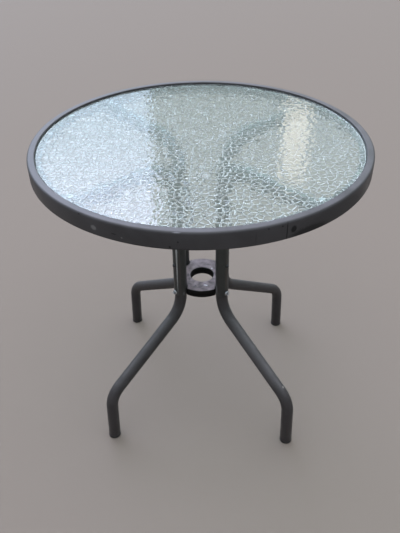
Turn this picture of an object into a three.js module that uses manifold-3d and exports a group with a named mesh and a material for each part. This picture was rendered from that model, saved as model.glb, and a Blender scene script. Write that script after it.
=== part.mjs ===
// Round patio table: a rippled glass pane in a roll-formed steel hoop, carried by four bent tube legs
// that are screwed to a pressed umbrella plate.
// Millimetres, Z up. The origin is on the floor, under the middle of the table.
import * as THREE from "three";
import { mergeVertices } from "three/addons/utils/BufferGeometryUtils.js";
import Module from "manifold-3d";

// Whole table
const topDiameter = 700;
const tableHeight = 700;
const slipGap = 0.3; // between pieces that slide into, or are welded to, each other
const cutOverrun = 2; // how far a cutting tool runs past what it cuts
const aroundSides = 60; // facets round the hoop and the glass
const legAzimuths = { front_left: 225, front_right: 315, back_right: 45, back_left: 135 };

// Hoop: one strip, rolled to a tube with a ledge for the glass and its seam under the ledge
const hoopBand = 15.5; // width of the top band
const hoopDepth = 35;
const hoopSheet = 1.2;
const hoopShoulder = 5; // outer top round
const hoopHem = 2; // bottom rounds
const hoopLipRound = 2; // inner top round
const ledgeWidth = 12.5;
const seamGap = 0.6;
const tubeInset = 1.5; // how far the wall under the ledge stands back from the lip

// Glass and the pads under it
const glassThickness = 5;
const glassDrop = 4.5; // glass face below the top of the hoop
const glassEdgeGap = 1.2;
const glassArris = 0.8; // ground edge
const padThickness = 1.5;
const padWidth = 7;
const padLength = 22;
const padSetback = 2.5; // from the lip
const padCount = 8;

// Legs: a thinner lower tube slides up into the upper one
const legTube = 28; // outer diameter of the lower leg
const legWall = 1.2;
const sleeveWall = 1;
const legCircle = 69; // table axis to the upright part of a leg
const splayAngle = 57; // from upright
const ankleReach = 294; // table axis to the corner over a foot
const footLean = 2.8; // from upright, outward
const armBend = 75; // bend radii, on the tube's axis
const kneeBend = 75;
const ankleBend = 60;
const straightBelowSleeve = 6;
const legOverlap = 112; // how far the lower leg reaches up inside the upper one
const tubeSides = 16;
const armBendSteps = 7;
const legBendSteps = 4;

// Foot caps
const capHeight = 6; // from the floor to the end of the tube
const capFlare = 0.5; // wider than the tube, all round
const capRound = 2.5;
const capStem = 16; // length inside the tube

// Umbrella plate
const plateHeight = 347; // top face above the floor
const plateSheet = 2;
const plateSkirt = 18;
const plateRound = 2.5;
const lobeInset = 3.5; // the lobes between the legs stop this short of the leg circle
const seatLip = 4; // round at each side of a leg's seat
const poleHole = 54; // diameter
const collarDepth = 18;
const collarRound = 3;
const holeFacets = 28;

// Screws, bolts and nuts
const boltSize = 6;
const boltHead = { radius: 6, height: 4.2, edge: 1.6 };
const boltEnd = 2.5; // thread that stands out of a nut
const nutAcross = 10; // flats
const nutHeight = 5;
const jointScrewSize = 4.8;
const jointHead = { radius: 4.6, height: 3, edge: 1.2 };
const jointScrewTip = 5; // inside the lower leg
const jointScrewRise = 79; // above the plate screw
const screwSides = 10;
const holeSides = 8;

// Brackets welded inside the hoop, over the ends of the arms
const bracketSheet = 2.5;
const bracketCheek = 13; // how far the cheeks reach down beside the arm
const bracketLength = 30;
const bracketRound = 3;
const nutHeadroom = 2; // between an arm's nut and the glass
const ledgeClearance = 1; // between an arm's nut and the ledge

// Sizes that follow from the ones above
const radians = THREE.MathUtils.degToRad;
const topRadius = topDiameter / 2;
const lipRadius = topRadius - hoopBand;
const ledgeTip = lipRadius - ledgeWidth;
const glassTop = tableHeight - glassDrop;
const glassUnderside = glassTop - glassThickness;
const ledgeTop = glassUnderside - padThickness;
const hoopInner = lipRadius + tubeInset;
const legRadius = legTube / 2;
const sleeveBore = legRadius + slipGap;
const sleeveRadius = sleeveBore + sleeveWall;
const sleeveEnd = plateHeight - plateSkirt;
const plateScrewHeight = plateHeight - plateSkirt / 2;
const jointScrewHeight = plateScrewHeight + jointScrewRise;
const boltRadius = boltSize / 2;
const boltHole = boltRadius + slipGap;
const nutCorner = nutAcross / Math.sqrt(3);
const bracketTop = glassUnderside - nutHeadroom - nutHeight - slipGap;
const armHeight = bracketTop - bracketSheet - slipGap - sleeveRadius;
const armBoltRadius = ledgeTip - ledgeClearance - nutCorner;
const facetSag = 1 - Math.cos(Math.PI / aroundSides);

const wasm = await Module();
wasm.setup();

// A closed geometry as a solid for cutting and joining.
function solidOf(geometry) {
  const bare = geometry.clone();
  bare.deleteAttribute("normal");
  bare.deleteAttribute("uv");
  const merged = mergeVertices(bare);
  return new wasm.Manifold(
    new wasm.Mesh({
      numProp: 3,
      vertProperties: merged.attributes.position.array,
      triVerts: Uint32Array.from(merged.index.array),
    }),
  );
}

// A solid back as a geometry.
function geometryOf(solid) {
  const mesh = solid.getMesh();
  const geometry = new THREE.BufferGeometry();
  geometry.setAttribute("position", new THREE.BufferAttribute(mesh.vertProperties, 3));
  geometry.setIndex(new THREE.BufferAttribute(mesh.triVerts, 1));
  geometry.computeVertexNormals();
  return geometry;
}

// A geometry less each of the tools, which are geometries too.
function cut(geometry, tools) {
  const solid = tools.reduce((left, tool) => left.subtract(solidOf(tool)), solidOf(geometry));
  return geometryOf(solid);
}

// Stations along a path in a plane, each with its point and heading. A corner [x, y, radius, steps] is
// rounded in that many steps.
function roundedPath(corners, closed) {
  const at = (i) => new THREE.Vector2(...corners[(i + corners.length) % corners.length]);
  const stations = [];
  corners.forEach(([, , radius = 0, steps = 1], i) => {
    const here = at(i);
    const isEnd = !closed && (i === 0 || i === corners.length - 1);
    const arriving = i === 0 && !closed ? at(1).sub(here) : here.clone().sub(at(i - 1));
    const leaving = i === corners.length - 1 && !closed ? arriving.clone() : at(i + 1).sub(here);
    arriving.normalize();
    leaving.normalize();
    if (isEnd || !radius) {
      stations.push({ point: here, heading: isEnd ? leaving : arriving });
      return;
    }
    const turn = Math.atan2(arriving.cross(leaving), arriving.dot(leaving));
    const start = here.clone().addScaledVector(arriving, -radius * Math.tan(Math.abs(turn) / 2));
    const toCentre = new THREE.Vector2(-arriving.y, arriving.x).multiplyScalar(Math.sign(turn) * radius);
    const centre = start.clone().add(toCentre);
    for (let step = 0; step <= steps; step += 1) {
      const angle = (turn * step) / steps;
      const point = start.clone().rotateAround(centre, angle);
      const heading = arriving.clone().rotateAround(new THREE.Vector2(), angle);
      stations.push({ point, heading });
    }
  });
  return stations;
}

// Points along an arc, without its last one, so that arcs can be joined end to end.
function arcPoints(x, y, radius, from, to, steps) {
  return Array.from({ length: steps }, (_, i) => {
    const angle = from + ((to - from) * i) / steps;
    return new THREE.Vector2(x + radius * Math.cos(angle), y + radius * Math.sin(angle));
  });
}

function circlePoints(radius, sides) {
  return arcPoints(0, 0, radius, 0, 2 * Math.PI, sides);
}

// The axis of a bent tube, in the upright plane of its leg. Its stations lie at the ends of the bends
// and along them, so a straight run costs one step.
class BentAxis extends THREE.Curve {
  constructor(corners) {
    super();
    this.stations = roundedPath(corners, false);
  }

  station(share) {
    return this.stations[Math.round(share * (this.stations.length - 1))];
  }

  getPointAt(share, target = new THREE.Vector3()) {
    const { point } = this.station(share);
    return target.set(point.x, 0, point.y);
  }

  getTangentAt(share, target = new THREE.Vector3()) {
    const { heading } = this.station(share);
    return target.set(heading.x, 0, heading.y);
  }
}

function bentTube(corners, radius, bore) {
  const axis = new BentAxis(corners);
  const section = new THREE.Shape(circlePoints(radius, tubeSides));
  section.holes.push(new THREE.Path(circlePoints(bore, tubeSides)));
  return new THREE.ExtrudeGeometry(section, { steps: axis.stations.length - 1, extrudePath: axis });
}

// A revolved profile, its axis upright.
function revolve(points, sides) {
  return new THREE.LatheGeometry(points, sides).rotateX(Math.PI / 2);
}

// A closed profile with corners [radius, height, round, steps], revolved.
function revolveOutline(corners, sides) {
  const points = roundedPath(corners, true).map(({ point }) => point);
  return revolve([...points, points[0]], sides);
}

function prism(points, holes, depth) {
  const shape = new THREE.Shape(points);
  holes.forEach((hole) => shape.holes.push(new THREE.Path(hole)));
  return new THREE.ExtrudeGeometry(shape, { depth, bevelEnabled: false });
}

// A drill that runs out from the table's axis at a height, between two distances from that axis.
function radialDrill(radius, from, to, height) {
  return new THREE.CylinderGeometry(radius, radius, to - from, holeSides)
    .rotateZ(Math.PI / 2)
    .translate((from + to) / 2, 0, height);
}

function uprightDrill(radius, distance, bottom, top) {
  return new THREE.CylinderGeometry(radius, radius, top - bottom, holeSides)
    .rotateX(Math.PI / 2)
    .translate(distance, 0, (bottom + top) / 2);
}

function makeHoop() {
  const bottom = tableHeight - hoopDepth;
  const seam = ledgeTop - hoopSheet - seamGap;
  return revolveOutline(
    [
      [hoopInner, seam],
      [hoopInner, bottom, hoopHem],
      [topRadius, bottom, hoopHem, 2],
      [topRadius, tableHeight, hoopShoulder, 3],
      [lipRadius, tableHeight, hoopLipRound],
      [lipRadius, ledgeTop],
      [ledgeTip, ledgeTop],
      [ledgeTip, ledgeTop - hoopSheet],
      [lipRadius + hoopSheet, ledgeTop - hoopSheet],
      [lipRadius + hoopSheet, tableHeight - hoopSheet, hoopLipRound - hoopSheet],
      [topRadius - hoopSheet, tableHeight - hoopSheet, hoopShoulder - hoopSheet, 2],
      [topRadius - hoopSheet, bottom + hoopSheet, hoopHem - hoopSheet],
      [hoopInner + hoopSheet, bottom + hoopSheet, hoopHem - hoopSheet],
      [hoopInner + hoopSheet, seam],
    ],
    aroundSides,
  );
}

function makeGlass() {
  const edge = lipRadius - glassEdgeGap;
  const profile = [
    [0, glassUnderside],
    [edge - glassArris, glassUnderside],
    [edge, glassUnderside + glassArris],
    [edge, glassTop - glassArris],
    [edge - glassArris, glassTop],
    [0, glassTop],
  ];
  return revolve(
    profile.map(([x, y]) => new THREE.Vector2(x, y)),
    aroundSides,
  );
}

function makePad(azimuth) {
  const outer = lipRadius - padSetback;
  const inner = outer - padWidth;
  const half = padLength / 2 / outer;
  const outline = [
    ...arcPoints(0, 0, outer, azimuth - half, azimuth + half, 3),
    new THREE.Vector2(outer * Math.cos(azimuth + half), outer * Math.sin(azimuth + half)),
    ...arcPoints(0, 0, inner, azimuth + half, azimuth - half, 3),
    new THREE.Vector2(inner * Math.cos(azimuth - half), inner * Math.sin(azimuth - half)),
  ];
  return prism(outline, [], padThickness).translate(0, 0, ledgeTop);
}

// How far out a flat end of this half width reaches before it meets the faceted wall of the hoop.
function reachToHoop(halfWidth) {
  return Math.sqrt(hoopInner ** 2 - halfWidth ** 2) - hoopInner * facetSag - slipGap;
}

function makeUpperLeg() {
  const armEnd = reachToHoop(sleeveRadius);
  const tube = bentTube(
    [
      [armEnd, armHeight],
      [legCircle, armHeight, armBend, armBendSteps],
      [legCircle, sleeveEnd],
    ],
    sleeveRadius,
    sleeveBore,
  );
  const outside = legCircle + sleeveRadius + cutOverrun;
  return cut(tube, [
    radialDrill(boltHole, legCircle - sleeveRadius - cutOverrun, outside, plateScrewHeight),
    radialDrill(jointScrewSize / 2 + slipGap, legCircle, outside, jointScrewHeight),
    uprightDrill(
      boltHole,
      armBoltRadius,
      armHeight - sleeveRadius - cutOverrun,
      armHeight + sleeveRadius + cutOverrun,
    ),
  ]);
}

// The lower leg's corners, from inside the upper leg down to the floor.
function lowerLegCorners() {
  const kneeHeight =
    sleeveEnd - straightBelowSleeve - kneeBend * Math.tan(radians(splayAngle) / 2);
  const ankleHeight = kneeHeight - (ankleReach - legCircle) / Math.tan(radians(splayAngle));
  const footReach = ankleReach + ankleHeight * Math.tan(radians(footLean));
  return [
    [legCircle, sleeveEnd + legOverlap],
    [legCircle, kneeHeight, kneeBend, legBendSteps],
    [ankleReach, ankleHeight, ankleBend, legBendSteps],
    [footReach, 0],
  ];
}

function makeLowerLeg() {
  const corners = lowerLegCorners();
  const [footReach] = corners.pop();
  const lean = radians(footLean);
  corners.push([footReach - capHeight * Math.sin(lean), capHeight * Math.cos(lean)]);
  const tube = bentTube(corners, legRadius, legRadius - legWall);
  const outside = legCircle + legRadius + cutOverrun;
  return cut(tube, [
    radialDrill(boltHole, legCircle - legRadius - cutOverrun, outside, plateScrewHeight),
    radialDrill(jointScrewSize / 2 + slipGap, legCircle, outside, jointScrewHeight),
  ]);
}

// A moulded plug: its stem sits in the tube, and its foot is cut level with the floor.
function makeFootCap() {
  const foot = legRadius + capFlare;
  const stem = legRadius - legWall - slipGap;
  const flangeTop = capHeight - slipGap;
  const corners = [
    [0, -cutOverrun],
    [foot - capRound, -cutOverrun],
    [foot - capRound / 3, capRound / 3],
    [foot, capRound],
    [foot, flangeTop],
    [stem, flangeTop],
    [stem, capHeight + capStem],
    [0, capHeight + capStem],
  ];
  const [footReach] = lowerLegCorners().pop();
  const plug = revolve(
    corners.map(([x, y]) => new THREE.Vector2(x, y)),
    tubeSides,
  )
    .rotateY(-radians(footLean))
    .translate(footReach, 0, 0);
  const below = new THREE.BoxGeometry(legTube * 2, legTube * 2, legTube).translate(
    footReach,
    0,
    -legTube / 2,
  );
  return cut(plug, [below]);
}

// Outline of the umbrella plate: round lobes between the legs, and a hollow seat for each leg.
function plateOutline(lobeRadius, seatRadius, lipRound) {
  const lipCentre = lobeRadius - lipRound;
  const lipToSeat = seatRadius + lipRound;
  const lipAzimuth = Math.acos(
    (lipCentre ** 2 + legCircle ** 2 - lipToSeat ** 2) / (2 * lipCentre * legCircle),
  );
  const lipX = lipCentre * Math.cos(lipAzimuth);
  const lipY = lipCentre * Math.sin(lipAzimuth);
  const lipTurn = Math.atan2(lipY, legCircle - lipX);
  const quarter = Math.PI / 2;
  const oneSide = [
    ...arcPoints(lipX, -lipY, lipRound, -lipAzimuth, lipTurn, 3),
    ...arcPoints(legCircle, 0, seatRadius, Math.PI + lipTurn, Math.PI - lipTurn, 7),
    ...arcPoints(lipX, lipY, lipRound, -lipTurn, lipAzimuth, 3),
    ...arcPoints(0, 0, lobeRadius, lipAzimuth, quarter - lipAzimuth, 6),
  ];
  return Object.values(legAzimuths)
    .sort((a, b) => a - b)
    .flatMap((azimuth) =>
      oneSide.map((point) => point.clone().rotateAround(new THREE.Vector2(), radians(azimuth))),
    );
}

function makePlate() {
  const lobeRadius = legCircle - lobeInset;
  const seatRadius = sleeveRadius + slipGap;
  const skirtBottom = plateHeight - plateSkirt;
  const pressing = new THREE.ExtrudeGeometry(
    new THREE.Shape(plateOutline(lobeRadius, seatRadius, seatLip)),
    {
      depth: plateSkirt,
      bevelThickness: plateRound,
      bevelSize: plateRound,
      bevelOffset: -plateRound,
      bevelSegments: 2,
    },
  ).translate(0, 0, skirtBottom - plateRound);
  const inside = plateOutline(lobeRadius - plateSheet, seatRadius + plateSheet, seatLip - plateSheet);
  const hollow = prism(inside, [], plateSkirt - plateSheet + plateRound + cutOverrun).translate(
    0,
    0,
    skirtBottom - plateRound - cutOverrun,
  );
  const below = new THREE.BoxGeometry(
    2 * (lobeRadius + cutOverrun),
    2 * (lobeRadius + cutOverrun),
    plateSkirt,
  ).translate(0, 0, skirtBottom - plateSkirt / 2);
  const hole = poleHole / 2;
  const collarOuter = hole + collarRound + plateSheet;
  const opening = new THREE.CylinderGeometry(
    hole + collarRound,
    hole + collarRound,
    2 * plateSkirt,
    holeFacets,
  )
    .rotateX(Math.PI / 2)
    .translate(0, 0, plateHeight);
  const collar = revolveOutline(
    [
      [hole, plateHeight - collarDepth],
      [hole + plateSheet, plateHeight - collarDepth],
      [hole + plateSheet, plateHeight - plateSheet],
      [collarOuter, plateHeight - plateSheet],
      [collarOuter, plateHeight],
      [hole, plateHeight, collarRound, 2],
    ],
    holeFacets,
  );
  const drills = Object.values(legAzimuths).map((azimuth) =>
    radialDrill(
      boltHole,
      legCircle - seatRadius - plateSheet - cutOverrun,
      legCircle,
      plateScrewHeight,
    ).rotateZ(radians(azimuth)),
  );
  const shell = cut(pressing, [hollow, below, opening, ...drills]);
  return geometryOf(solidOf(shell).add(solidOf(collar)));
}

// A domed-head screw: its head's underside at zero, its shank below.
function screw(radius, length, head) {
  const profile = [
    [0, -length],
    [radius, -length],
    [radius, 0],
    [head.radius, 0],
    [head.radius, head.edge],
    [head.radius * Math.SQRT1_2, head.edge + (head.height - head.edge) * Math.SQRT1_2],
    [0, head.height],
  ];
  return new THREE.LatheGeometry(
    profile.map(([x, y]) => new THREE.Vector2(x, y)),
    screwSides,
  );
}

function nut() {
  const corners = circlePoints(nutCorner, 6);
  return prism(corners, [circlePoints(boltHole, holeSides)], nutHeight);
}

function makePlateScrew() {
  const headSeat = legCircle + sleeveRadius + slipGap;
  const nutFace = legCircle - sleeveRadius - slipGap - plateSheet - slipGap;
  const length = headSeat - (nutFace - nutHeight - boltEnd);
  return screw(boltRadius, length, boltHead)
    .rotateZ(-Math.PI / 2)
    .translate(headSeat, 0, plateScrewHeight);
}

function makePlateNut() {
  const face = legCircle - sleeveRadius - slipGap - plateSheet - slipGap;
  return nut()
    .rotateY(-Math.PI / 2)
    .translate(face, 0, plateScrewHeight);
}

function makeJointScrew() {
  const headSeat = legCircle + sleeveRadius + slipGap;
  const length = sleeveWall + 2 * slipGap + legWall + jointScrewTip;
  return screw(jointScrewSize / 2, length, jointHead)
    .rotateZ(-Math.PI / 2)
    .translate(headSeat, 0, jointScrewHeight);
}

// An upturned channel over the end of the arm, welded by its outer edge to the hoop.
function makeBracket() {
  const inner = sleeveRadius + slipGap;
  const outer = inner + bracketSheet;
  const underside = bracketTop - bracketSheet;
  const foot = underside - bracketCheek;
  const section = roundedPath(
    [
      [outer, foot],
      [outer, bracketTop, bracketRound, 2],
      [-outer, bracketTop, bracketRound, 2],
      [-outer, foot],
      [-inner, foot],
      [-inner, underside],
      [inner, underside],
      [inner, foot],
    ],
    true,
  ).map(({ point }) => point);
  const end = reachToHoop(outer);
  const channel = prism(section, [], bracketLength)
    .rotateX(Math.PI / 2)
    .rotateZ(Math.PI / 2)
    .translate(end - bracketLength, 0, 0);
  return cut(channel, [
    uprightDrill(boltHole, armBoltRadius, underside - cutOverrun, bracketTop + cutOverrun),
  ]);
}

function makeArmBolt() {
  const headSeat = armHeight - sleeveRadius - slipGap;
  const length = bracketTop + slipGap + nutHeight - headSeat;
  return screw(boltRadius, length, boltHead)
    .rotateX(-Math.PI / 2)
    .translate(armBoltRadius, 0, headSeat);
}

function makeArmNut() {
  return nut().translate(armBoltRadius, 0, bracketTop + slipGap);
}

// Finishes
const coatedSteel = { color: 0x3c3d40, roughness: 0.42, metalness: 0.35 };
const zincSteel = { color: 0xb9bbbd, roughness: 0.3, metalness: 0.9 };
const darkScrew = { color: 0x2c2d2f, roughness: 0.45, metalness: 0.6 };
const glassFinish = { color: 0xc4d4d0, roughness: 0.08, metalness: 0, transparent: true, opacity: 0.4 };
const padFinish = { color: 0xd9dcdb, roughness: 0.5, metalness: 0 };
const capFinish = { color: 0x1c1c1d, roughness: 0.6, metalness: 0 };

function addPiece(parent, name, geometry, finish) {
  const mesh = new THREE.Mesh(geometry, new THREE.MeshStandardMaterial(finish));
  mesh.name = name;
  parent.add(mesh);
  return mesh;
}

function buildLeg(position, azimuth) {
  const leg = new THREE.Group();
  leg.rotation.z = radians(azimuth);
  addPiece(leg, `upper_leg_${position}`, makeUpperLeg(), coatedSteel);
  addPiece(leg, `lower_leg_${position}`, makeLowerLeg(), coatedSteel);
  addPiece(leg, `foot_cap_${position}`, makeFootCap(), capFinish);
  addPiece(leg, `plate_screw_${position}`, makePlateScrew(), zincSteel);
  addPiece(leg, `plate_nut_${position}`, makePlateNut(), zincSteel);
  addPiece(leg, `joint_screw_${position}`, makeJointScrew(), darkScrew);
  addPiece(leg, `arm_bracket_${position}`, makeBracket(), coatedSteel);
  addPiece(leg, `arm_bolt_${position}`, makeArmBolt(), zincSteel);
  addPiece(leg, `arm_nut_${position}`, makeArmNut(), zincSteel);
  return leg;
}

function buildTable() {
  const table = new THREE.Group();
  table.name = "umbrella_table";
  addPiece(table, "rim_hoop", makeHoop(), coatedSteel);
  addPiece(table, "glass_top", makeGlass(), glassFinish);
  for (let i = 0; i < padCount; i += 1) {
    const azimuth = ((i + 0.5) * 2 * Math.PI) / padCount;
    addPiece(table, `glass_pad_${i + 1}`, makePad(azimuth), padFinish);
  }
  addPiece(table, "umbrella_plate", makePlate(), coatedSteel);
  for (const [position, azimuth] of Object.entries(legAzimuths)) {
    table.add(buildLeg(position, azimuth));
  }
  return table;
}

export default buildTable();
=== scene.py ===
import math

import bmesh
import bpy
from mathutils import Matrix, Vector, kdtree, noise


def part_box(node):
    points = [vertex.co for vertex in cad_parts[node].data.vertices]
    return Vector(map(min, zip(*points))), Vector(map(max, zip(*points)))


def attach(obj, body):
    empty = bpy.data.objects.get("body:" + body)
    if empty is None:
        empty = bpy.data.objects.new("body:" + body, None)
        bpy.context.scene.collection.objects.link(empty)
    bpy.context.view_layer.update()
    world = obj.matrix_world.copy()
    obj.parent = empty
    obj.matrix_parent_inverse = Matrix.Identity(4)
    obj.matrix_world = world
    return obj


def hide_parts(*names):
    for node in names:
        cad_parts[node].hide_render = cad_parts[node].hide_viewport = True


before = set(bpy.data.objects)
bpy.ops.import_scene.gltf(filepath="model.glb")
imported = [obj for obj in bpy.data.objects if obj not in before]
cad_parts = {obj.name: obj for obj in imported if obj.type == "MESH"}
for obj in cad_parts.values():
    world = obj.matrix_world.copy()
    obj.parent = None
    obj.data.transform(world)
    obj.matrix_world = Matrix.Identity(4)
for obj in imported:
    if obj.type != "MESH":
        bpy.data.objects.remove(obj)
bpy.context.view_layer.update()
scene = bpy.context.scene


# The camera stands where the photograph was taken from: 1.1 m from the middle of the table, half a
# metre above its top, and tilted down 37 degrees.
image_height, focal_length = 533, 579.9  # in pixels of the photograph
camera_place = (0.0570, -1.1117, 1.2072)
camera_turn, camera_tilt, camera_roll = 0.0555, 0.6446, 0.0150
camera_data = bpy.data.cameras.new("camera")
camera_data.sensor_fit = "VERTICAL"
camera_data.sensor_height = 36
camera_data.lens = camera_data.sensor_height * focal_length / image_height
camera = bpy.data.objects.new("camera", camera_data)
camera.matrix_world = (
    Matrix.Translation(camera_place)
    @ Matrix.Rotation(camera_turn, 4, "Z")
    @ Matrix.Rotation(math.pi / 2 - camera_tilt, 4, "X")
    @ Matrix.Rotation(-camera_roll, 4, "Z")
)
scene.collection.objects.link(camera)
scene.camera = camera


# The hoop: a strip of 1.2 mm steel, rolled to a hollow section with a ledge for the glass and bent
# round the top. Polyester powder is sprayed on and baked to a dark grey satin coat, which years
# outdoors have dulled, dusted and scuffed.
def linear(hex_colour):
    """An sRGB hex value as linear red, green and blue, with alpha."""
    shares = [int(hex_colour[i : i + 2], 16) / 255 for i in (1, 3, 5)]
    return [s / 12.92 if s <= 0.04045 else ((s + 0.055) / 1.055) ** 2.4 for s in shares] + [1.0]


def add_node(tree, kind, inputs=None, **settings):
    """Adds a shader node. inputs gives each socket's value, or the socket that feeds it."""
    node = tree.nodes.new("ShaderNode" + kind)
    for name, value in settings.items():
        setattr(node, name, value)
    for key, value in (inputs or {}).items():
        if isinstance(value, bpy.types.NodeSocket):
            tree.links.new(value, node.inputs[key])
        else:
            node.inputs[key].default_value = value
    return node


def start_material(name):
    material = bpy.data.materials.new(name)
    material.use_nodes = True
    material.node_tree.nodes.clear()
    return material, material.node_tree


def powder_coat(name, colour, dust_and_light, cover, gleam=0.28, patch=0.045, marks=()):
    """Satin polyester powder coat: an even dull sheen, softened by orange peel, cloudy from weather.
    Dust lies on what faces up, in patches of the size given, and covers at most the share given;
    its paler colour also stands for painted sky light on the tops. gleam is how much of its shine
    is left. Each mark is a matt scuff or stain, or a patch of painted shade or highlight: (place,
    half sizes in metres, share, colour)."""
    grains_per_metre, dimples_per_metre = 420, 300  # grit of 2.4 mm, orange peel 3.3 mm across
    peel_depth = 0.0002
    material, tree = start_material(name)
    place = add_node(tree, "TexCoord").outputs["Object"]
    cloudy = add_node(
        tree, "TexNoise", {"Vector": place, "Scale": 1 / patch, "Detail": 5}
    ).outputs["Fac"]
    grit = add_node(
        tree, "TexNoise", {"Vector": place, "Scale": grains_per_metre, "Detail": 3}
    ).outputs["Fac"]
    peel = add_node(
        tree, "TexNoise", {"Vector": place, "Scale": dimples_per_metre, "Detail": 1}
    ).outputs["Fac"]
    facing = add_node(tree, "SeparateXYZ", {0: add_node(tree, "NewGeometry").outputs["Normal"]})
    upward = add_node(
        tree, "MapRange", {"Value": facing.outputs["Z"], "From Min": 0.78, "From Max": 0.99}
    ).outputs["Result"]
    in_patches = add_node(
        tree, "MapRange", {"Value": cloudy, "From Min": 0.35, "From Max": 0.7, "To Min": 0.35}
    ).outputs["Result"]
    # Dust on what faces up, which also stands for painted sky light on the tops.
    dust_and_light_share = add_node(tree, "Math", {0: upward, 1: in_patches}, operation="MULTIPLY").outputs[0]
    dust_and_light_share = add_node(tree, "Math", {0: dust_and_light_share, 1: cover}, operation="MULTIPLY").outputs[0]
    body = add_node(
        tree,
        "Mix",
        {
            "Factor": cloudy,
            "A": [c * 0.65 for c in linear(colour)[:3]] + [1],
            "B": [c * 1.45 for c in linear(colour)[:3]] + [1],
        },
        data_type="RGBA",
    ).outputs[2]
    coat = add_node(
        tree, "Mix", {"Factor": dust_and_light_share, "A": body, "B": linear(dust_and_light)}, data_type="RGBA"
    ).outputs[2]
    matt = 0.0
    for where, half_sizes, share, mark_colour in marks:
        offset = add_node(
            tree, "VectorMath", {0: place, 1: where}, operation="SUBTRACT"
        ).outputs[0]
        spread = add_node(
            tree, "VectorMath", {0: offset, 1: half_sizes}, operation="DIVIDE"
        ).outputs[0]
        reach = add_node(tree, "VectorMath", {0: spread}, operation="LENGTH").outputs["Value"]
        ragged = add_node(
            tree, "Math", {0: reach, 1: grit, 2: reach}, operation="MULTIPLY_ADD"
        ).outputs[0]
        inside = add_node(
            tree,
            "MapRange",
            {"Value": ragged, "From Min": 0.9, "From Max": 1.5, "To Min": share, "To Max": 0},
        ).outputs["Result"]
        coat = add_node(
            tree, "Mix", {"Factor": inside, "A": coat, "B": linear(mark_colour)}, data_type="RGBA"
        ).outputs[2]
        matt = add_node(tree, "Math", {0: matt, 1: inside}, operation="MAXIMUM").outputs[0]
    gloss = add_node(
        tree,
        "MapRange",
        {"Value": cloudy, "From Min": 0.3, "From Max": 0.7, "To Min": 0.36, "To Max": 0.52},
    ).outputs["Result"]
    relief = add_node(
        tree, "Bump", {"Height": peel, "Strength": 0.35, "Distance": peel_depth}
    ).outputs["Normal"]
    shader = add_node(
        tree,
        "BsdfPrincipled",
        {
            "Base Color": coat,
            "Roughness": add_node(tree, "Mix", {"Factor": matt, "A": gloss, "B": 0.8}).outputs[0],
            "Specular IOR Level": gleam,
            "IOR": 1.5,
            "Normal": relief,
        },
    )
    add_node(tree, "OutputMaterial", {"Surface": shader.outputs[0]})
    return material


def rounded_section(mesh, corners):
    """Draws a section as one face. Each corner is (place, round), and a round of 0 leaves it sharp."""
    drawn = [(mesh.verts.new(place), round_) for place, round_ in corners]
    mesh.faces.new([vert for vert, _ in drawn])
    for vert, round_ in drawn:
        if round_:
            bmesh.ops.bevel(
                mesh,
                geom=[vert],
                offset=round_,
                segments=5,
                profile=0.5,
                affect="VERTICES",
                material=-1,
            )


def full_turn(mesh, steps):
    """Spins an outline right round the axis of the mesh."""
    bmesh.ops.spin(
        mesh,
        geom=mesh.verts[:] + mesh.edges[:],
        cent=(0, 0, 0),
        axis=(0, 0, 1),
        angle=2 * math.pi,
        steps=steps,
        use_merge=True,
    )


def piece(name, mesh, material, stands_for, sharp=35):
    """Makes a bmesh the object that is shown in place of a node of the frame. It is shaded smooth,
    apart from edges sharper than the angle."""
    bmesh.ops.remove_doubles(mesh, verts=mesh.verts, dist=1e-6)
    bmesh.ops.recalc_face_normals(mesh, faces=mesh.faces)
    data = bpy.data.meshes.new(name)
    mesh.to_mesh(data)
    mesh.free()
    data.shade_smooth()
    data.set_sharp_from_angle(angle=math.radians(sharp))
    data.materials.append(material)
    made = bpy.data.objects.new(name, data)
    scene.collection.objects.link(made)
    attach(made, "root")
    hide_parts(stands_for)
    return made


hoop_low, hoop_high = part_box("rim_hoop")
glass_low, glass_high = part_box("glass_top")
hoop_top, hoop_bottom, hoop_outside = hoop_high.z, hoop_low.z, hoop_high.x
band_width, wall_setback, ledge_width = 0.0155, 0.0015, 0.0125
pad_thickness, seam_gap, steel = 0.0015, 0.0006, 0.0012
hoop_lip = hoop_outside - band_width
hoop_wall = hoop_lip + wall_setback
ledge = glass_low.z - pad_thickness
hoop_corners = [  # distance from the axis, height, round
    (hoop_wall, ledge - steel - seam_gap, 0),
    (hoop_wall, hoop_bottom, 0.002),
    (hoop_outside, hoop_bottom, 0.002),
    (hoop_outside, hoop_top, 0.005),
    (hoop_lip, hoop_top, 0.002),
    (hoop_lip, ledge, 0.0005),
    (hoop_lip - ledge_width, ledge, 0.0005),
    (hoop_lip - ledge_width, ledge - steel, 0.0005),
    (hoop_lip + steel, ledge - steel, 0),
    (hoop_lip + steel, hoop_top - steel, 0.001),
    (hoop_outside - steel, hoop_top - steel, 0.0038),
    (hoop_outside - steel, hoop_bottom + steel, 0.0008),
    (hoop_wall + steel, hoop_bottom + steel, 0.0008),
    (hoop_wall + steel, ledge - steel - seam_gap, 0),
]
hoop = bmesh.new()
rounded_section(hoop, [((r, 0, z), round_) for r, z, round_ in hoop_corners])
bmesh.ops.delete(hoop, geom=hoop.faces[:], context="FACES_ONLY")
full_turn(hoop, 240)
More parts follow.
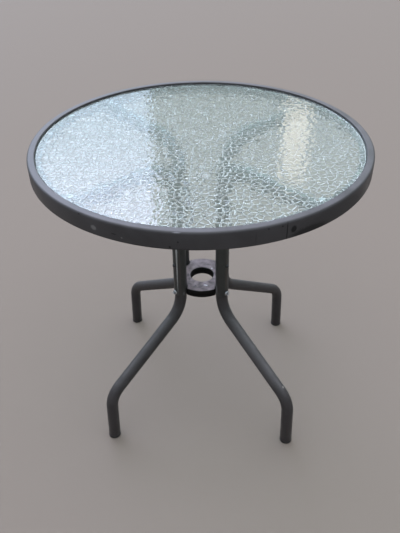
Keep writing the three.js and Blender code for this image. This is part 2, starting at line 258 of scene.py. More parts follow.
# The coat is dark grey with a dull sheen, and dust with painted sky light makes the band on top
# twice as light as the side. Its marks are scuffs, grit spots and the strip's joint, with painted
# shade over the right front of the side and along its lower front edge.
hoop_marks_and_shade = [
    ((-0.1647, -0.3088, 0.6801), (0.008, 0.005, 0.0055), 0.4, "#8b8c8c"),
    ((-0.1144, -0.3308, 0.6750), (0.002, 0.002, 0.002), 0.5, "#7d7c7a"),
    ((-0.0225, -0.3493, 0.6985), (0.009, 0.004, 0.0012), 0.5, "#8f9097"),
    ((-0.1280, -0.3258, 0.6792), (0.0065, 0.004, 0.0012), 0.8, "#0f0f10"),
    ((-0.1908, -0.2934, 0.6970), (0.0018, 0.002, 0.0016), 0.9, "#101010"),
    ((-0.0202, -0.3494, 0.6809), (0.0018, 0.002, 0.0020), 0.8, "#0f0f0f"),
    ((-0.0337, -0.3484, 0.6704), (0.0022, 0.002, 0.0022), 0.9, "#0c0c0c"),
    ((0.1253, -0.3268, 0.6942), (0.0018, 0.002, 0.0018), 0.9, "#0e0e0f"),
    ((0.1483, -0.3170, 0.6935), (0.0020, 0.002, 0.0018), 0.9, "#0e0e0f"),
    ((0.1049, -0.3339, 0.6812), (0.0008, 0.003, 0.0120), 0.5, "#161617"),
    ((0.1565, -0.3131, 0.6790), (0.0011, 0.004, 0.0300), 0.9, "#0b0b0c"),
    ((0.1680, -0.3071, 0.6821), (0.0070, 0.006, 0.0080), 0.9, "#0d0d0e"),
    # Painted shade: these two darken the right front of the hoop's side.
    ((0.1980, -0.2890, 0.6680), (0.0480, 0.046, 0.0130), 0.75, "#0f0e0e"),
    ((0.2500, -0.2450, 0.6760), (0.1100, 0.110, 0.0300), 0.4, "#191a1b"),
    # Painted shade: darker along the lower front edge, away from the light from above.
    ((-0.0300, -0.3490, 0.6640), (0.1200, 0.030, 0.0050), 0.4, "#1d1a1b"),
]
hoop_coat = powder_coat(
    "powder coat, satin dark grey", "#39393b", "#6e6c72", cover=0.48, marks=hoop_marks_and_shade
)
piece("hoop", hoop, hoop_coat, "rim_hoop")


# The pane: 5 mm tempered soda-lime glass with a rippled pattern rolled into its underside, so that it
# is smooth to wipe on top. Its edge is ground, and it lies loose on eight clear pads.
glass_radius, glass_arris = glass_high.x, 0.0008
ridge_spacing, ridge_height = 0.0125, 0.0011
waves_per_metre, wave_height = 85, 0.0003

# The glass is clear and faintly green. Its top mirrors the sky, a little wavy from the rollers, and a
# net of ridges below bends what is seen through it and catches light in bright threads. The net is
# only in the material, since it is too fine for the mesh. Lamps shine through without being bent.
glass, tree = start_material("patterned glass, faintly green")
place = add_node(tree, "TexCoord").outputs["Object"]
wave = add_node(
    tree, "TexNoise", {"Vector": place, "Scale": waves_per_metre, "Detail": 1}
).outputs["Fac"]
wavy = add_node(
    tree, "Bump", {"Height": wave, "Strength": 1.0, "Distance": wave_height}
).outputs["Normal"]
height_in_table = add_node(tree, "SeparateXYZ", {0: place}).outputs["Z"]
below_top = add_node(
    tree,
    "MapRange",
    {
        "Value": height_in_table,
        "From Min": glass_high.z - 0.001,
        "From Max": glass_high.z - 0.002,
    },
).outputs["Result"]
off_ridge = add_node(
    tree,
    "TexVoronoi",
    {"Vector": place, "Scale": 1 / ridge_spacing, "Randomness": 0.9},
    voronoi_dimensions="2D",
    feature="DISTANCE_TO_EDGE",
).outputs["Distance"]
net = add_node(
    tree,
    "MapRange",
    {"Value": off_ridge, "From Min": 0, "From Max": 0.18, "To Min": 1, "To Max": 0},
    interpolation_type="SMOOTHSTEP",
).outputs["Result"]
ridges = add_node(tree, "Math", {0: net, 1: below_top}, operation="MULTIPLY").outputs[0]
ridged = add_node(
    tree,
    "Bump",
    {"Height": ridges, "Strength": 1.0, "Distance": ridge_height, "Normal": wavy},
).outputs["Normal"]
clear = add_node(
    tree,
    "BsdfPrincipled",
    {
        "Base Color": linear("#deebe8"),
        "Roughness": 0.0,
        "IOR": 1.52,
        "Transmission Weight": 1.0,
        "Normal": ridged,
    },
).outputs[0]
unbent = add_node(tree, "BsdfTransparent", {"Color": linear("#e4eeea")}).outputs[0]
to_lamp = add_node(tree, "LightPath").outputs["Is Shadow Ray"]
either = add_node(tree, "MixShader", {0: to_lamp, 1: clear, 2: unbent}).outputs[0]
add_node(tree, "OutputMaterial", {"Surface": either})

# Its ripple is a field of shallow round domes, pressed by a roller whose pattern lies askew in the
# pane: rows of domes that wander, with some missing.
cell, ripple_depth, grain_size = 0.021, 0.0026, 0.0085
wander, missing, askew = 0.55, 0.12, 0.35
flat_ring = 0.003  # where the glass lies on the pads
noise.seed_set(5)
domes = kdtree.KDTree(5000)
rows = math.ceil(glass_radius / cell * 1.2) + 1
for row in range(-rows, rows + 1):
    for column in range(-rows, rows + 1):
        middle = Vector(((column + (row % 2) / 2) * cell, row * cell * math.sqrt(3) / 2, 0))
        middle += noise.random_unit_vector(size=2).to_3d() * cell * wander * noise.random() ** 0.5
        if noise.random() > missing:
            domes.insert(Matrix.Rotation(askew, 3, "Z") @ middle, 0)
domes.balance()


def ripple(spot):
    """How far the rolled face lies above its lowest points here: round domes that meet in creases."""
    _, _, near = domes.find(spot)
    fall = min(1, near / cell) ** 2
    swell = noise.noise(spot * (0.7 / cell))
    grain = noise.noise(spot / grain_size)
    return ripple_depth * (0.6 - 0.35 * fall + 0.2 * swell + 0.06 * grain)


pane = bmesh.new()
bmesh.ops.create_grid(pane, x_segments=270, y_segments=270, size=1)
rolled_radius = glass_radius - glass_arris
for vert in pane.verts:
    x, y = vert.co.x, vert.co.y
    spot = Vector((x * math.sqrt(1 - y * y / 2), y * math.sqrt(1 - x * x / 2), 0)) * rolled_radius
    fade = min(1, max(0, (rolled_radius - spot.length) / flat_ring))
    vert.co = spot + Vector((0, 0, glass_low.z + max(0, ripple(spot)) * fade))
edge = [e for e in pane.edges if e.is_boundary]
for beyond, height in (
    (glass_arris, glass_low.z + glass_arris),
    (glass_arris, glass_high.z - glass_arris),
    (0, glass_high.z),
):
    made = bmesh.ops.extrude_edge_only(pane, edges=edge)["geom"]
    edge = [e for e in made if isinstance(e, bmesh.types.BMEdge)]
    for vert in {v for e in edge for v in e.verts}:
        flat = Vector((vert.co.x, vert.co.y, 0)).normalized() * (rolled_radius + beyond)
        vert.co = flat + Vector((0, 0, height))
    edge = [e for e in edge if e.is_boundary]
bmesh.ops.holes_fill(pane, edges=edge)
piece("pane", pane, glass, "glass_top", sharp=20)


# The pads: clear soft PVC, moulded, 22 mm long. Eight of them lie between the ledge and the glass and
# keep it from rattling, and its weight holds them. They are slightly milky, and show through the
# glass only as a soft glint.
pad_vinyl, tree = start_material("clear soft PVC, moulded")
place = add_node(tree, "TexCoord").outputs["Object"]
milky = add_node(tree, "TexNoise", {"Vector": place, "Scale": 160}).outputs["Fac"]  # 6 mm across
haze = add_node(
    tree, "MapRange", {"Value": milky, "To Min": 0.3, "To Max": 0.55}
).outputs["Result"]
soft_clear = add_node(
    tree,
    "BsdfPrincipled",
    {
        "Base Color": linear("#dfe6e3"),
        "Roughness": haze,
        "IOR": 1.53,
        "Transmission Weight": 0.9,
    },
).outputs[0]
add_node(tree, "OutputMaterial", {"Surface": soft_clear})
pad_length, pad_width, pad_edge, pad_setback = 0.022, 0.007, 0.0004, 0.0025
pad_outside = hoop_lip - pad_setback
pad_angle = pad_length / pad_outside
for number in range(1, 9):
    pad = bmesh.new()
    corners = [
        (pad_outside - pad_width, ledge),
        (pad_outside, ledge),
        (pad_outside, glass_low.z),
        (pad_outside - pad_width, glass_low.z),
    ]
    pad.faces.new([pad.verts.new((r, 0, z)) for r, z in corners])
    bmesh.ops.bevel(
        pad,
        geom=pad.verts[:],
        offset=pad_edge,
        segments=3,
        profile=0.5,
        affect="VERTICES",
        material=-1,
    )
    bmesh.ops.spin(
        pad,
        geom=pad.verts[:] + pad.edges[:] + pad.faces[:],
        cent=(0, 0, 0),
        axis=(0, 0, 1),
        angle=pad_angle,
        steps=6,
    )
    pad_start = math.radians(45 * (number - 0.5)) - pad_angle / 2
    pad.transform(Matrix.Rotation(pad_start, 4, "Z"))
    piece(f"pad_{number}", pad, pad_vinyl, f"glass_pad_{number}")


# The legs: two lengths of welded steel tube each, bent cold. The upper one, 30.6 mm across, runs in
# under the glass, turns down and ends as a sleeve. The lower one, 28 mm across, goes up inside it and
# splays out below.
legs = {"front_left": 225, "front_right": 315, "back_right": 45, "back_left": 135}
leg_circle = 0.069
sleeve_radius, sleeve_wall = 0.0153, 0.0010
inner_radius, inner_wall = 0.0140, 0.0012
arm_height, sleeve_end, ankle_reach = 0.6651, 0.329, 0.294
arm_bend, knee_bend, ankle_bend = 0.075, 0.075, 0.060
splay, lean = math.radians(57), math.radians(2.8)
leg_overlap, below_sleeve = 0.112, 0.006
cap_height = 0.006


def bent_tube(start, heading, runs, radius):
    """A tube in the plane y = 0: straight runs, and bends as (angle, bend radius). A positive angle
    turns it from +X towards -Z."""
    tube = bmesh.new()
    direction = Vector(heading).normalized()
    turn = direction.to_track_quat("Z", "Y").to_matrix().to_4x4()
    end = bmesh.ops.create_circle(
        tube, segments=40, radius=radius, matrix=Matrix.Translation(start) @ turn
    )["verts"]
    place = Vector(start)
    for run in runs:
        edges = [e for e in tube.edges if e.verts[0] in end and e.verts[1] in end]
        if isinstance(run, float):
            made = bmesh.ops.extrude_edge_only(tube, edges=edges)["geom"]
            end = [v for v in made if isinstance(v, bmesh.types.BMVert)]
            bmesh.ops.translate(tube, verts=end, vec=direction * run)
            place += direction * run
        else:
            angle, bend = run
            across = Vector((0, 1, 0)).cross(direction) * math.copysign(1, angle)
            centre = place + across * bend
            made = bmesh.ops.spin(
                tube,
                geom=end + edges,
                cent=centre,
                axis=(0, 1, 0),
                angle=angle,
                steps=max(6, round(abs(angle) / math.radians(4))),
            )["geom_last"]
            end = [v for v in made if isinstance(v, bmesh.types.BMVert)]
            rotation = Matrix.Rotation(angle, 3, "Y")
            place = centre + rotation @ (place - centre)
            direction = rotation @ direction
    return tube


def tube_wall(tube, thickness, eased=0.0003):
    """Gives a tube, or the plate, its wall, inwards, and eases its cut edges."""
    wall = tube.modifiers.new("wall", "SOLIDIFY")
    wall.thickness = thickness
    wall.offset = -1
    ease = tube.modifiers.new("deburred ends", "BEVEL")
    ease.width = eased
    ease.segments = 2
    ease.limit_method = "ANGLE"
    ease.angle_limit = math.radians(50)


hoop_clearance = 0.0008  # between the hoop's wall and what ends against it
arm_end = math.sqrt(hoop_wall**2 - sleeve_radius**2) - hoop_clearance
upper_runs = [
    arm_end - leg_circle - arm_bend,
    (-math.pi / 2, arm_bend),
    arm_height - arm_bend - sleeve_end,
]
knee_height = sleeve_end - below_sleeve - knee_bend * math.tan(splay / 2)
ankle_height = knee_height - (ankle_reach - leg_circle) / math.tan(splay)
foot_reach = ankle_reach + ankle_height * math.tan(lean)
lower_top = sleeve_end + leg_overlap
lower_runs = [
    lower_top - knee_height - knee_bend * math.tan(splay / 2),
    (-splay, knee_bend),
    (ankle_reach - leg_circle) / math.sin(splay)
    - knee_bend * math.tan(splay / 2)
    - ankle_bend * math.tan((splay - lean) / 2),
    (splay - lean, ankle_bend),
    (ankle_height / math.cos(lean)) - ankle_bend * math.tan((splay - lean) / 2) - cap_height,
]
# The coat is a dusty black with a low sheen on the sleeves, and a shade browner below; dust and
# painted sky light pale what faces up. A long pale stripe of painted highlight runs down the front
# left sleeve, and the ends of the front two are worn. Chairs have chipped the upper edges of the
# splays, and the front right splay is painted a little paler all over, as painted light.
sleeve_rubs_and_highlight = [
    # Painted highlight: a pale stripe down the left of the front left sleeve.
    ((-0.0539, -0.0632, 0.500), (0.0024, 0.006, 0.19), 0.7, "#b4b4b6"),
    ((0.0364, -0.0577, 0.345), (0.0035, 0.004, 0.018), 0.5, "#8f9093"),
    ((0.0583, -0.0607, 0.390), (0.0016, 0.004, 0.060), 0.5, "#5b4f4a"),
    ((-0.0480, -0.0641, 0.420), (0.0030, 0.004, 0.120), 0.5, "#4b4544"),
    ((-0.0384, -0.0621, 0.336), (0.005, 0.005, 0.006), 0.4, "#77767a"),
]
leg_chips_and_light = [
    ((0.098, -0.098, 0.270), (0.004, 0.004, 0.0015), 0.7, "#a8a6a2"),
    ((0.131, -0.125, 0.240), (0.003, 0.002, 0.002), 0.6, "#9a958f"),
    ((-0.117, -0.112, 0.252), (0.005, 0.003, 0.002), 0.6, "#a19f9c"),
    ((-0.178, -0.174, 0.190), (0.004, 0.004, 0.002), 0.5, "#8d8a86"),
    ((0.196, -0.190, 0.165), (0.003, 0.004, 0.003), 0.6, "#98938d"),
    # Painted light: the whole front right splay a little paler, as if more light fell on it.
    ((0.135, -0.135, 0.225), (0.110, 0.110, 0.100), 0.12, "#7d7a7c"),
]
upper_coat = powder_coat(
    "powder coat, satin black", "#323332", "#737679", cover=0.8, patch=0.022, marks=sleeve_rubs_and_highlight
)
lower_coat = powder_coat(
    "powder coat, satin brown black",
    "#333132",
    "#858284",
    cover=0.6,
    patch=0.022,
    marks=leg_chips_and_light,
)
for position, azimuth in legs.items():
    turned = Matrix.Rotation(math.radians(azimuth), 4, "Z")
    upper = bent_tube((arm_end, 0, arm_height), (-1, 0, 0), upper_runs, sleeve_radius)
    upper.transform(turned)
    upper = piece("sleeve_" + position, upper, upper_coat, "upper_leg_" + position)
    tube_wall(upper, sleeve_wall)
    lower = bent_tube((leg_circle, 0, lower_top), (0, 0, -1), lower_runs, inner_radius)
    lower.transform(turned)
    lower = piece("leg_" + position, lower, lower_coat, "lower_leg_" + position)
    tube_wall(lower, inner_wall)


# The foot caps: black polyethylene plugs, moulded and pushed into the tubes. Each has a domed rim, and
# its sole has worn flat and level on the ground. They are dull and waxy, and scraped grey at the
# lowest 4 mm.
cap_plastic, tree = start_material("polyethylene, moulded black")
place = add_node(tree, "TexCoord").outputs["Object"]
scraped = add_node(
    tree, "TexNoise", {"Vector": place, "Scale": 500, "Detail": 4}  # 2 mm across
).outputs["Fac"]
above_ground = add_node(tree, "SeparateXYZ", {0: place}).outputs["Z"]
near_ground = add_node(
    tree, "MapRange", {"Value": above_ground, "From Max": 0.004, "To Min": 0.7, "To Max": 0}
).outputs["Result"]
worn = add_node(tree, "Math", {0: near_ground, 1: scraped}, operation="MULTIPLY").outputs[0]
moulded = add_node(
    tree,
    "BsdfPrincipled",
    {
        "Base Color": add_node(
            tree,
            "Mix",
            {"Factor": worn, "A": linear("#161617"), "B": linear("#6b6762")},
            data_type="RGBA",
        ).outputs[2],
        "Roughness": add_node(
            tree, "MapRange", {"Value": scraped, "To Min": 0.42, "To Max": 0.68}
        ).outputs["Result"],
        "IOR": 1.51,
        "Normal": add_node(
            tree, "Bump", {"Height": scraped, "Strength": 0.4, "Distance": 0.0001}
        ).outputs["Normal"],
    },
).outputs[0]
add_node(tree, "OutputMaterial", {"Surface": moulded})

slip_gap = 0.0003  # between pieces that slide together, or are clamped
cap_overhang, cap_stem_length = 0.0005, 0.016
cap_worn = 0.002  # what the ground has taken off its sole
cap_rim = inner_radius + cap_overhang
cap_stem = inner_radius - inner_wall - slip_gap
cap_corners = [  # distance from the plug's axis, height, round
    (0, -cap_worn, 0),
    (cap_rim, -cap_worn, 0.0042),
    (cap_rim, cap_height - slip_gap, 0.0006),
    (cap_stem, cap_height - slip_gap, 0),
    (cap_stem, cap_height + cap_stem_length, 0.0015),
    (0, cap_height + cap_stem_length, 0),
]


def revolved(corners, steps):
    """A closed body from the corners of its profile, which starts and ends on the axis."""
    body = bmesh.new()
    rounded_section(body, [((r, 0, z), round_) for r, z, round_ in corners])
    bmesh.ops.delete(body, geom=body.faces[:], context="FACES_ONLY")
    on_axis = [e for e in body.edges if max(abs(v.co.x) for v in e.verts) < 1e-7]
    bmesh.ops.delete(body, geom=on_axis, context="EDGES")
    full_turn(body, steps)
    bmesh.ops.remove_doubles(body, verts=body.verts, dist=1e-6)
    return body


for position, azimuth in legs.items():
    cap = revolved(cap_corners, 40)
    cap.transform(
        Matrix.Rotation(math.radians(azimuth), 4, "Z")
        @ Matrix.Translation((foot_reach, 0, 0))
        @ Matrix.Rotation(-lean, 4, "Y")
    )
    sole = bmesh.ops.bisect_plane(
        cap,
        geom=cap.verts[:] + cap.edges[:] + cap.faces[:],
        plane_co=(0, 0, 0),
        plane_no=(0, 0, 1),
        clear_inner=True,
    )["geom_cut"]
    bmesh.ops.holes_fill(cap, edges=[e for e in sole if isinstance(e, bmesh.types.BMEdge)])
    piece("cap_" + position, cap, cap_plastic, "foot_cap_" + position)


# The umbrella plate: 2 mm steel pressed to a shallow cap, with a skirt, a hollow seat for each leg and
# a collar turned down round the pole's hole. The legs stand in the seats and are screwed to the skirt.
_, plate_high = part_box("umbrella_plate")
plate_top = plate_high.z
plate_sheet, skirt_depth, lobe_inset = 0.002, 0.018, 0.0035
lobe_radius, pole_radius = leg_circle - lobe_inset, 0.027
seat_radius, lip_round = sleeve_radius + slip_gap, 0.004
rim_round, collar_round, rim_flat = 0.0025, 0.003, 0.0015
lip_centre = lobe_radius - lip_round
lip_azimuth = math.acos(
    (lip_centre**2 + leg_circle**2 - (seat_radius + lip_round) ** 2) / (2 * lip_centre * leg_circle)
)
lip_x, lip_y = lip_centre * math.cos(lip_azimuth), lip_centre * math.sin(lip_azimuth)
lip_turn = math.atan2(lip_y, leg_circle - lip_x)


def arc(mesh, x, y, radius, from_, to):
    """Edges along an arc, one for each 6 degrees or so."""
    start = mesh.verts.new(
        (x + radius * math.cos(from_), y + radius * math.sin(from_), plate_top)
    )
    bmesh.ops.spin(
        mesh,
        geom=[start],
        cent=(x, y, 0),
        axis=(0, 0, 1),
        angle=to - from_,
        steps=round(abs(to - from_) / 0.11),
    )


plate = bmesh.new()
arc(plate, lip_x, -lip_y, lip_round, -lip_azimuth, lip_turn)
arc(plate, leg_circle, 0, seat_radius, math.pi + lip_turn, math.pi - lip_turn)
arc(plate, lip_x, lip_y, lip_round, -lip_turn, lip_azimuth)
arc(plate, 0, 0, lobe_radius, lip_azimuth, math.pi / 2 - lip_azimuth)
bmesh.ops.transform(plate, matrix=Matrix.Rotation(math.pi / 4, 4, "Z"), verts=plate.verts)
bmesh.ops.spin(
    plate,
    geom=plate.verts[:] + plate.edges[:],
    cent=(0, 0, 0),
    axis=(0, 0, 1),
    angle=1.5 * math.pi,
    steps=3,
    use_duplicate=True,
)
bmesh.ops.create_circle(
    plate, segments=72, radius=pole_radius, matrix=Matrix.Translation((0, 0, plate_top))
)
bmesh.ops.remove_doubles(plate, verts=plate.verts, dist=1e-5)
rims = plate.edges[:]
bmesh.ops.triangle_fill(plate, edges=rims, use_beauty=True, normal=(0, 0, 1))
skirts = bmesh.ops.extrude_edge_only(plate, edges=rims)["geom"]
skirts = [v for v in skirts if isinstance(v, bmesh.types.BMVert)]
bmesh.ops.translate(plate, verts=skirts, vec=(0, 0, -skirt_depth))
for is_collar, round_ in ((False, rim_round), (True, collar_round)):
    rim = [
        e
        for e in rims
        if e.is_valid and (max(v.co.xy.length for v in e.verts) < pole_radius + 0.001) == is_collar
    ]
    bmesh.ops.bevel(
        plate, geom=rim, offset=round_, segments=6, profile=0.5, affect="EDGES", material=-1
    )
plate.normal_update()
flat_top = [f for f in plate.faces if abs(f.normal.z) > 0.9999]
bmesh.ops.inset_region(plate, faces=flat_top, thickness=rim_flat, use_even_offset=True)

# The coat is black as painted shade, so that skirt and collar read as shadow, and the dust on top,
# with painted sky light, is a patchy lilac grey. Its marks are painted shade round the skirt, wet
# patches dried dark, bright scratches, and a painted highlight beside the pole's hole.
plate_marks_and_painted_light = [
    # Painted shade: near black and matt round the skirt, so that it reads as shadow.
    ((0, 0, plate_top - 0.0135), (0.1200, 0.1200, 0.0130), 0.9, "#040404"),
    ((-0.0335, -0.0043, plate_top), (0.0035, 0.0080, 0.004), 0.8, "#4a4548"),
    ((-0.0291, -0.0198, plate_top), (0.0040, 0.0050, 0.004), 0.7, "#524d50"),
    ((0.0090, -0.0359, plate_top), (0.0045, 0.0016, 0.004), 0.7, "#4f4859"),
    ((-0.0138, -0.0450, plate_top), (0.0018, 0.0028, 0.004), 0.8, "#464150"),
    ((0.0123, -0.0426, plate_top), (0.0030, 0.0022, 0.004), 0.7, "#d2cdd8"),
    # Painted highlight beside the pole's hole.
    ((0.0231, 0.0244, plate_top), (0.0018, 0.0030, 0.004), 0.7, "#d9d6dc"),
    ((0.0087, -0.0416, plate_top), (0.0040, 0.0020, 0.01), 0.8, "#b9b5bd"),
    ((0.0040, -0.0450, plate_top), (0.0050, 0.0022, 0.01), 0.5, "#4f4b55"),
    ((-0.0104, -0.0384, plate_top), (0.0020, 0.0016, 0.01), 0.6, "#56525c"),
    ((-0.0368, 0.0403, plate_top), (0.0060, 0.0090, 0.01), 0.5, "#4d4b50"),
]
# Its black is painted shade on skirt and collar; the lilac grey on top is dust and painted sky light.
plate_coat = powder_coat(
    "powder coat, satin black, dusty",
    "#080808",
    "#86777c",
    cover=1.0,
    gleam=0.15,
    patch=0.014,
    marks=plate_marks_and_painted_light,
)
plate = piece("plate", plate, plate_coat, "umbrella_plate")
tube_wall(plate, plate_sheet)


# The screws and nuts at the plate: M6 steel, cold headed with a cross recess, the thread rolled. Each
# goes in through sleeve, leg and skirt. They are zinc plated, and the heads outdoors have dulled.
def plated_steel(name, colour, stain, shine):
    """Electroplated steel: thin, metallic and bright, with soft reflections and dull stains a few
    millimetres across. shine is its roughness where it is clean."""
    material, tree = start_material(name)
    place = add_node(tree, "TexCoord").outputs["Object"]
    blotch = add_node(
        tree, "TexNoise", {"Vector": place, "Scale": 260, "Detail": 5}  # 4 mm across
    ).outputs["Fac"]
    stained = add_node(
        tree, "MapRange", {"Value": blotch, "From Min": 0.45, "From Max": 0.7}
    ).outputs["Result"]
    plating = add_node(
        tree,
        "BsdfPrincipled",
        {
            "Base Color": add_node(
                tree,
                "Mix",
                {"Factor": stained, "A": linear(colour), "B": linear(stain)},
                data_type="RGBA",
            ).outputs[2],
            "Metallic": add_node(
                tree, "MapRange", {"Value": stained, "To Min": 1.0, "To Max": 0.45}
            ).outputs["Result"],
            "Roughness": add_node(
                tree, "MapRange", {"Value": stained, "To Min": shine, "To Max": 0.6}
            ).outputs["Result"],
        },
    ).outputs[0]
    add_node(tree, "OutputMaterial", {"Surface": plating})
    return material


def screw(radius, length, pitch, head_radius, head_edge, head_height):
    """A screw, its head's underside at zero. The thread is drawn as rings, which look the same at
    this size."""
    core_radius, tip_radius, tip_length = radius * 0.82, radius * 0.7, radius * 0.3
    threaded = min(length * 0.6, 0.022)
    dome = [math.radians(a) for a in (12, 26, 42, 60)]
    recess_depth, recess_draft = head_height * 0.5, head_radius * 0.03
    arm_half_angle = math.radians(11.3)
    corners = [(0, -length, 0), (tip_radius, -length, 0), (radius, -length + tip_length, 0)]
    for turn in range(int(threaded / pitch)):
        low = -length + tip_length + (turn + 0.25) * pitch
        corners += [(core_radius, low + pitch * 0.25, 0), (radius, low + pitch * 0.5, 0)]
    corners += [(radius, 0, 0), (head_radius, 0, 0), (head_radius, head_edge, 0)]
    corners += [
        (head_radius * math.cos(a), head_edge + (head_height - head_edge) * math.sin(a), 0)
        for a in dome
    ]
    arm = head_radius * math.cos(dome[-1])
    middle = arm * 0.3
    for across in (middle, 0):
        rise = math.sqrt(1 - (across / head_radius) ** 2)
        corners.append((across, head_edge + (head_height - head_edge) * rise, 0))
    made = revolved(corners, 32)
    recess = []
    for face in made.faces:
        centre = face.calc_center_median()
        turn = math.atan2(centre.y, centre.x) % (math.pi / 2)
        in_arm = min(turn, math.pi / 2 - turn) < arm_half_angle
        if centre.z > head_edge and (
            centre.xy.length < middle or (centre.xy.length < arm * 0.97 and in_arm)
        ):
            recess.append(face)
    bmesh.ops.inset_region(made, faces=recess, thickness=recess_draft, depth=-recess_depth)
    return made


def nut(across, height, bore):
    """A hexagon nut that stands on zero, with a corner towards +X and its corners chamfered."""
    corner, chamfer, chamfer_slope = across / math.sqrt(3), across / 2 * 0.96, math.radians(30)
    flare, flare_depth = bore + 0.0003, 0.0004
    made = bmesh.new()
    ring = [
        (flare, 0),
        (chamfer, 0),
        (corner, height * 0.1),
        (corner, height * 0.9),
        (chamfer, height),
        (flare, height),
        (bore, height - flare_depth),
        (bore, flare_depth),
    ]
    made.faces.new([made.verts.new((r, 0, z)) for r, z in ring])
    bmesh.ops.delete(made, geom=made.faces[:], context="FACES_ONLY")
    full_turn(made, 48)
    for vert in made.verts:
        if vert.co.xy.length > chamfer + 0.0001:
            turn = math.atan2(vert.co.y, vert.co.x) % (math.pi / 3)
            flat = across / 2 / math.cos(turn - math.pi / 6)
            drop = (flat - chamfer) * math.tan(chamfer_slope)
            vert.co.xy = vert.co.xy.normalized() * flat
            vert.co.z = drop if vert.co.z < height / 2 else height - drop
    return made


# The heads are a dull silver grey with brown stains, and still glint against the black tubes.
zinc = plated_steel("steel, bright zinc plated", "#a4a6aa", "#5c5957", 0.24)
thread_radius, thread_pitch, thread_end = 0.003, 0.001, 0.0025
bolt_head = (0.006, 0.0016, 0.0042)  # radius, height of its edge, height
nut_across, nut_height = 0.010, 0.005
head_seat = leg_circle + sleeve_radius + slip_gap
nut_face = leg_circle - sleeve_radius - slip_gap - plate_sheet - slip_gap
plate_screw_height = plate_top - skirt_depth / 2
for position, azimuth in legs.items():
    turned = Matrix.Rotation(math.radians(azimuth), 4, "Z")
    seat = turned @ Matrix.Translation((head_seat, 0, plate_screw_height))
    seat = seat @ Matrix.Rotation(math.pi / 2, 4, "Y")
    length = head_seat - nut_face + nut_height + thread_end
    plate_screw = screw(thread_radius, length, thread_pitch, *bolt_head)
    plate_screw.transform(seat @ Matrix.Rotation(math.radians(azimuth * 0.4), 4, "Z"))
    name = "plate_screw_" + position
    piece(name + "_headed", plate_screw, zinc, name)
    plate_nut = nut(nut_across, nut_height, thread_radius)
    plate_nut.transform(
        turned
        @ Matrix.Translation((nut_face, 0, plate_screw_height))
        @ Matrix.Rotation(-math.pi / 2, 4, "Y")
    )
    name = "plate_nut_" + position
    piece(name + "_chamfered", plate_nut, zinc, name)


# The joint screws: self-tapping 4.8 mm screws with small domed heads, driven through each sleeve into
# the leg inside it. They are plated black, and show only as a dark glint.
black_zinc = plated_steel("steel, black zinc plated", "#4a4a4d", "#3a3633", 0.34)
joint_screw_rise = 0.079
joint_screw_height = plate_screw_height + joint_screw_rise
joint_radius, joint_length, joint_pitch = 0.0024, 0.0078, 0.0016
joint_head = (0.0046, 0.0012, 0.003)
for position, azimuth in legs.items():
    joint_screw = screw(joint_radius, joint_length, joint_pitch, *joint_head)
    joint_screw.transform(
        Matrix.Rotation(math.radians(azimuth), 4, "Z")
        @ Matrix.Translation((head_seat, 0, joint_screw_height))
        @ Matrix.Rotation(math.pi / 2, 4, "Y")
        @ Matrix.Rotation(math.radians(azimuth * 0.7), 4, "Z")
    )
    name = "joint_screw_" + position
    piece(name + "_headed", joint_screw, black_zinc, name)


# The arm brackets: 2.5 mm steel folded to a channel over the end of each arm, and welded to the inside
# of the hoop before coating, so that they and the weld bead have the hoop's dark grey coat.
bracket_sheet, bracket_length, cheek, nut_headroom = 0.0025, 0.030, 0.013, 0.002
channel_inside = sleeve_radius + slip_gap
channel_outside = channel_inside + bracket_sheet
channel_top = glass_low.z - nut_headroom - nut_height - slip_gap
channel_foot = channel_top - bracket_sheet - cheek
channel_corners = [  # across the arm, height, round
    (channel_outside, channel_foot, 0.0015),
    (channel_outside, channel_top, 0.003),
    (-channel_outside, channel_top, 0.003),
    (-channel_outside, channel_foot, 0.0015),
    (-channel_inside, channel_foot, 0),
    (-channel_inside, channel_top - bracket_sheet, 0.0006),
    (channel_inside, channel_top - bracket_sheet, 0.0006),
    (channel_inside, channel_foot, 0),
]
channel_end = math.sqrt(hoop_wall**2 - channel_outside**2) - hoop_clearance
bead, bead_corner, bead_wobble, bead_wave = 0.0014, 0.003, 0.0003, 0.0004
bead_sink = 0.0002
for position, azimuth in legs.items():
    turned = Matrix.Rotation(math.radians(azimuth), 4, "Z")
    bracket = bmesh.new()
    rounded_section(
        bracket, [((channel_end, y, z), round_) for y, z, round_ in channel_corners]
    )
    made = bmesh.ops.extrude_face_region(bracket, geom=bracket.faces[:])["geom"]
    made = [v for v in made if isinstance(v, bmesh.types.BMVert)]
    bmesh.ops.translate(bracket, verts=made, vec=(-bracket_length, 0, 0))
    side_run = channel_top - channel_foot - bead_corner
    top_run = 2 * (channel_outside - bead_corner)
    corner = (math.pi / 2, bead_corner)
    weld = bent_tube(
        (-channel_outside, 0, channel_foot),
        (0, 0, 1),
        [side_run, corner, top_run, corner, side_run],
        bead,
    )
    long_runs = [e for e in weld.edges if e.calc_length() > 0.005]  # and not the bends
    bmesh.ops.subdivide_edges(weld, edges=long_runs, cuts=14, use_grid_fill=True)
    bmesh.ops.holes_fill(weld, edges=weld.edges)
    for vert in weld.verts:
        vert.co.y += bead_wobble * math.sin(vert.co.x / bead_wave + vert.co.z / bead_wave)
    weld.transform(
        Matrix.Translation((channel_end - bead_sink, 0, 0)) @ Matrix.Rotation(math.pi / 2, 4, "Z")
    )
    welded = bpy.data.meshes.new("weld")
    weld.to_mesh(welded)
    weld.free()
    bracket.from_mesh(welded)
    bracket.transform(turned)
    piece("bracket_" + position, bracket, hoop_coat, "arm_bracket_" + position)


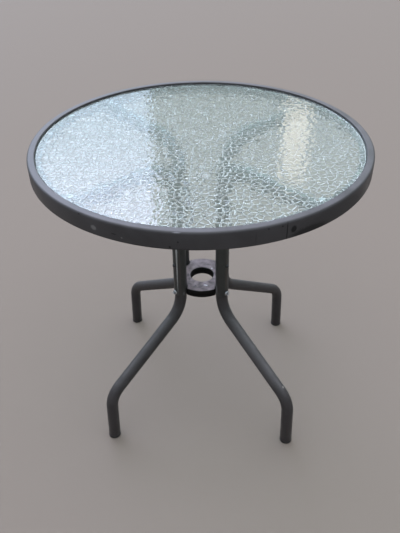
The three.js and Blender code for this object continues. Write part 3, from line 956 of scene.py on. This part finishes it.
# The arm bolts: M6 bolts put in from below, through arm and bracket, with a nut under the glass. They
# are zinc plated like the screws at the plate, and cleaner and brighter, because the top keeps the
# rain off them.
under_zinc = plated_steel("steel, bright zinc plated, sheltered", "#c3c6cc", "#9c9b98", 0.2)
ledge_clearance = 0.001
bolt_reach = hoop_lip - ledge_width - ledge_clearance - nut_across / math.sqrt(3)
bolt_seat = arm_height - sleeve_radius - slip_gap
bolt_length = channel_top + slip_gap + nut_height - bolt_seat
for position, azimuth in legs.items():
    turned = Matrix.Rotation(math.radians(azimuth), 4, "Z")
    bolt = screw(thread_radius, bolt_length, thread_pitch, *bolt_head)
    bolt.transform(
        turned @ Matrix.Translation((bolt_reach, 0, bolt_seat)) @ Matrix.Rotation(math.pi, 4, "X")
    )
    name = "arm_bolt_" + position
    piece(name + "_headed", bolt, under_zinc, name)
    arm_nut = nut(nut_across, nut_height, thread_radius)
    arm_nut.transform(turned @ Matrix.Translation((bolt_reach, 0, channel_top + slip_gap)))
    name = "arm_nut_" + position
    piece(name + "_chamfered", arm_nut, under_zinc, name)


# The floor is a plain, slightly warm grey and quite matt, so that it takes only soft shadows. It
# reaches far enough to be level with the horizon in every view.
bpy.ops.mesh.primitive_plane_add(size=80)
floor = bpy.context.object
floor.name = "floor"
floor_paint, tree = start_material("floor, plain matt")
painted = add_node(tree, "BsdfPrincipled", {"Base Color": linear("#70675f"), "Roughness": 0.9})
add_node(tree, "OutputMaterial", {"Surface": painted.outputs[0]})
floor.data.materials.append(floor_paint)


# The light is a soft studio sky: dim at the level of the table, brighter behind it, and brightest
# overhead. Behind the table, the glass mirrors an open bright part at the left and a pale upright
# band at the right.
world = bpy.data.worlds.new("sky")
scene.world = world
world.use_nodes = True
tree = world.node_tree
tree.nodes.clear()


def ramp(value, low, high, from_=0.0, to=1.0):
    """Eases from one number to another while the value goes from low to high."""
    inputs = {"Value": value, "From Min": low, "From Max": high, "To Min": from_, "To Max": to}
    return add_node(tree, "MapRange", inputs, interpolation_type="SMOOTHSTEP").outputs["Result"]


def product(a, b):
    return add_node(tree, "Math", {0: a, 1: b}, operation="MULTIPLY").outputs[0]


def blend(share, under, over):
    return add_node(
        tree, "Mix", {"Factor": share, "A": under, "B": over}, data_type="RGBA"
    ).outputs[2]


# Its colours are linear, and brighter than a hex value can be.
around, overhead = (0.32, 0.32, 0.33, 1), (2.6, 2.75, 3.0, 1)
behind_low, behind_high = (0.82, 1.0, 1.02, 1), (1.28, 1.42, 1.45, 1)
open_low, open_high = (1.9, 2.35, 2.85, 1), (5.4, 5.6, 7.1, 1)
pale = (3.1, 3.0, 2.7, 1)
aim = add_node(tree, "SeparateXYZ", {0: add_node(tree, "TexCoord").outputs["Generated"]})
aside = add_node(  # how far a direction points to the right for each step to the back
    tree, "Math", {0: aim.outputs["X"], 1: aim.outputs["Y"]}, operation="DIVIDE"
).outputs[0]
rise = aim.outputs["Z"]
behind = ramp(aim.outputs["Y"], 0.2, 0.6)
glow = product(behind, ramp(rise, 0.02, 0.25))
far_sky = blend(ramp(rise, 0.34, 0.56), behind_low, behind_high)
sky = blend(glow, around, far_sky)
sky = blend(ramp(rise, 0.52, 0.86), sky, overhead)
open_sky = blend(ramp(rise, 0.36, 0.66), open_low, open_high)
sky = blend(product(ramp(aside, -0.138, -0.147), glow), sky, open_sky)
band = product(ramp(aside, 0.092, 0.110), ramp(aside, 0.156, 0.136))
band = product(band, product(ramp(rise, 0.34, 0.38), ramp(rise, 0.50, 0.45)))
sky = blend(band, sky, pale)
background = add_node(tree, "Background", {"Color": sky, "Strength": 1.0})
add_node(tree, "OutputWorld", {"Surface": background.outputs[0]})

# Light runs on inside the rippled pane for longer than Cycles follows it by itself.
scene.cycles.max_bounces = 24
scene.cycles.transmission_bounces = 24
scene.cycles.glossy_bounces = 16
scene.view_settings.view_transform = "Standard"
